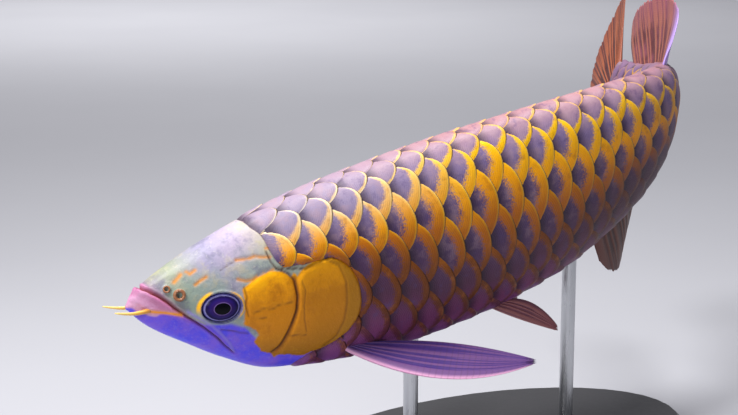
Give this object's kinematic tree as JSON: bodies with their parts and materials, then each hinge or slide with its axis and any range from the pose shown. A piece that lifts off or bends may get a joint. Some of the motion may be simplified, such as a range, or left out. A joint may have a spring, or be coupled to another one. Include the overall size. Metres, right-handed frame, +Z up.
{
  "type": "asian arowana fish model",
  "caption": "life-size still model of an Asian arowana turning as it swims, with large raised scales, held over a flat base by two rods",
  "frame": {"origin": "middle of the model's bounding box seen from above, on the surface that the stand's base rests on", "axes": "+Z is up; +X points from the head's side to the tail's side across the picture's view; +Y points away from the picture's camera"},
  "size_m": [0.3287, 0.353, 0.2656],
  "materials": {
    "head_skin": "pale olive and lavender skin, moist gloss",
    "jaw_skin": "violet skin, moist gloss",
    "gill_cover": "orange gold, glossy",
    "eye": "dark blue iris with a black pupil, wet gloss",
    "barbel": "orange yellow skin, glossy",
    "scales": "lavender grey scales with broad gold rims, pearly gloss",
    "fin": "rusty mauve web with paler rays, glossy",
    "stand_base": "black satin",
    "stand_rod": "brushed steel"
  },
  "bodies": {
    "root": {"head": "head_skin", "lower_jaw": "jaw_skin", "gill_cover_left": "gill_cover", "gill_cover_right": "gill_cover", "eye_left": "eye", "eye_right": "eye", "barbel_left": "barbel", "barbel_right": "barbel", "body_front": "scales", "body_middle": "scales", "body_rear": "scales", "tail_stalk": "scales", "dorsal_fin": "fin", "anal_fin": "fin", "caudal_fin": "fin", "pectoral_fin_left": "fin", "pectoral_fin_right": "fin", "pelvic_fin_left": "fin", "pelvic_fin_right": "fin", "stand_base": "stand_base", "stand_rod_front": "stand_rod", "stand_rod_rear": "stand_rod"}
  },
  "joints": []
}
